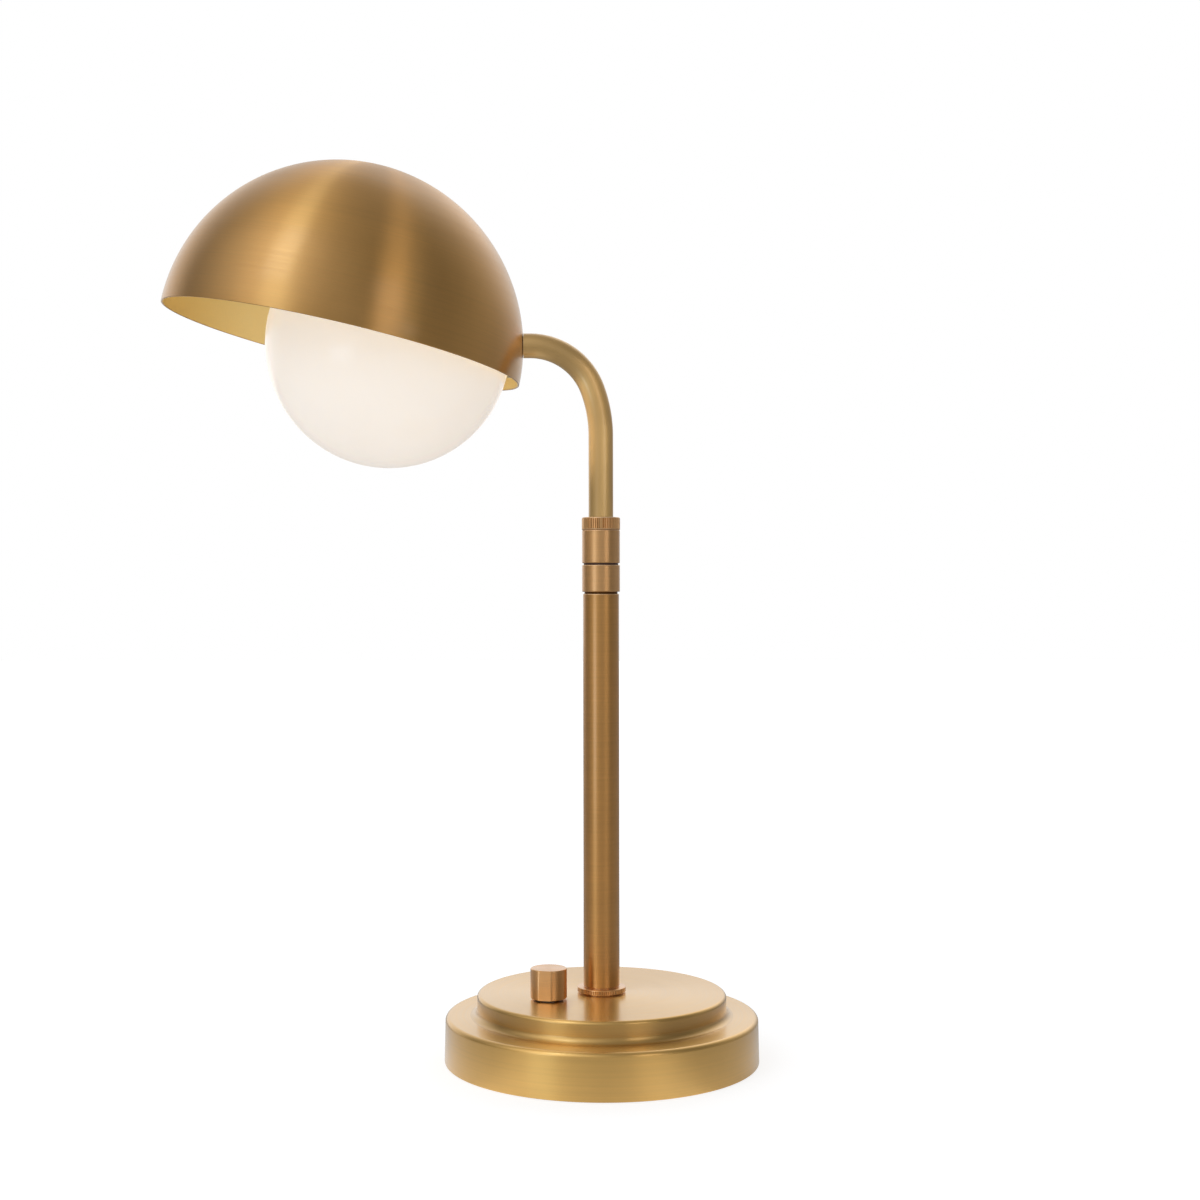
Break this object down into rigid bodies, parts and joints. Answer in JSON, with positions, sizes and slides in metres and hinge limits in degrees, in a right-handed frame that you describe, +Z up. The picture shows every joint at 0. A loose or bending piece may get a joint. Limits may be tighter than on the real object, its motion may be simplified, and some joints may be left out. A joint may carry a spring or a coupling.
{
  "type": "desk lamp",
  "caption": "Desk lamp with a half-ball metal shade over an opal glass globe, on a bent arm that slides and swivels in a post's collar, with a dimmer knob on a stepped round base.",
  "frame": {"origin": "centre of the underside of the felt that the lamp stands on, on the post's axis", "axes": "+Z up along the post; the arm and the shade point to -X at rest; the dimmer knob is on the -Y side and the cord inlet faces +Y"},
  "size_m": [0.3121, 0.191, 0.4715],
  "materials": {
    "spun_brass": "brushed, aged, clear lacquered",
    "turned_brass": "fine brushed, aged, clear lacquered",
    "steel": "zinc plated",
    "iron": "rough cast, blacked",
    "felt": "matte felt",
    "rubber": "matte",
    "nylon": "matte",
    "black_plastic": "matte",
    "porcelain": "unglazed steatite",
    "opal_glass": "glossy opal",
    "clear_glass": "clear",
    "phosphor": "matte"
  },
  "bodies": {
    "base": {"base_cover": "spun_brass", "base_weight": "iron", "bottom_plate": "steel", "plate_screws": "steel", "felt_pad": "felt", "cord_bushing": "rubber", "terminal_block": "porcelain", "dimmer_lead": "rubber", "dimmer_body": "black_plastic", "dimmer_nut": "steel", "base_spacer": "steel", "post_stud": "steel", "stud_washer": "steel", "stud_nut": "steel", "foot_ring": "turned_brass", "post_plug": "steel", "post_tube": "turned_brass", "post_lead": "rubber", "lower_sleeve": "turned_brass", "swivel_washer": "nylon"},
    "swivel": {"swivel_sleeve": "turned_brass", "swivel_screw": "steel", "arm_collet": "nylon"},
    "lock": {"lock_ring": "turned_brass"},
    "arm": {"arm_tube": "turned_brass", "guide_bush": "nylon", "arm_plug": "turned_brass", "arm_nipple": "steel", "arm_lead": "rubber", "slack_lead": "rubber", "saddle_washer": "nylon", "spring_washer": "steel", "globe_cup": "spun_brass", "cup_nut": "steel", "globe_gasket": "rubber", "globe": "opal_glass", "lampholder": "porcelain", "bulb_cap": "porcelain", "bulb_envelope": "clear_glass", "bulb_core": "phosphor", "shade_dome": "spun_brass"},
    "knob": {"dimmer_knob": "turned_brass", "dimmer_shaft": "steel", "knob_screw": "steel"}
  },
  "joints": [
    {"name": "arm_swivel", "type": "hinge", "parent": "base", "child": "swivel", "pos_m": [0, 0, 0.27], "axis": [0, 0, 1], "range_deg": [-170, 170]},
    {"name": "arm_height", "type": "slide", "parent": "swivel", "child": "arm", "axis": [0, 0, 1], "range_m": [-0.04, 0.08], "deforming": ["slack_lead"]},
    {"name": "lock_turn", "type": "hinge", "parent": "swivel", "child": "lock", "pos_m": [0, 0, 0.282], "axis": [0, 0, 1], "range_deg": [0, 90]},
    {"name": "knob_turn", "type": "hinge", "parent": "base", "child": "knob", "pos_m": [-0.02772, -0.01639, 0.0437], "axis": [0, 0, 1], "range_deg": [-270, 0]}
  ]
}
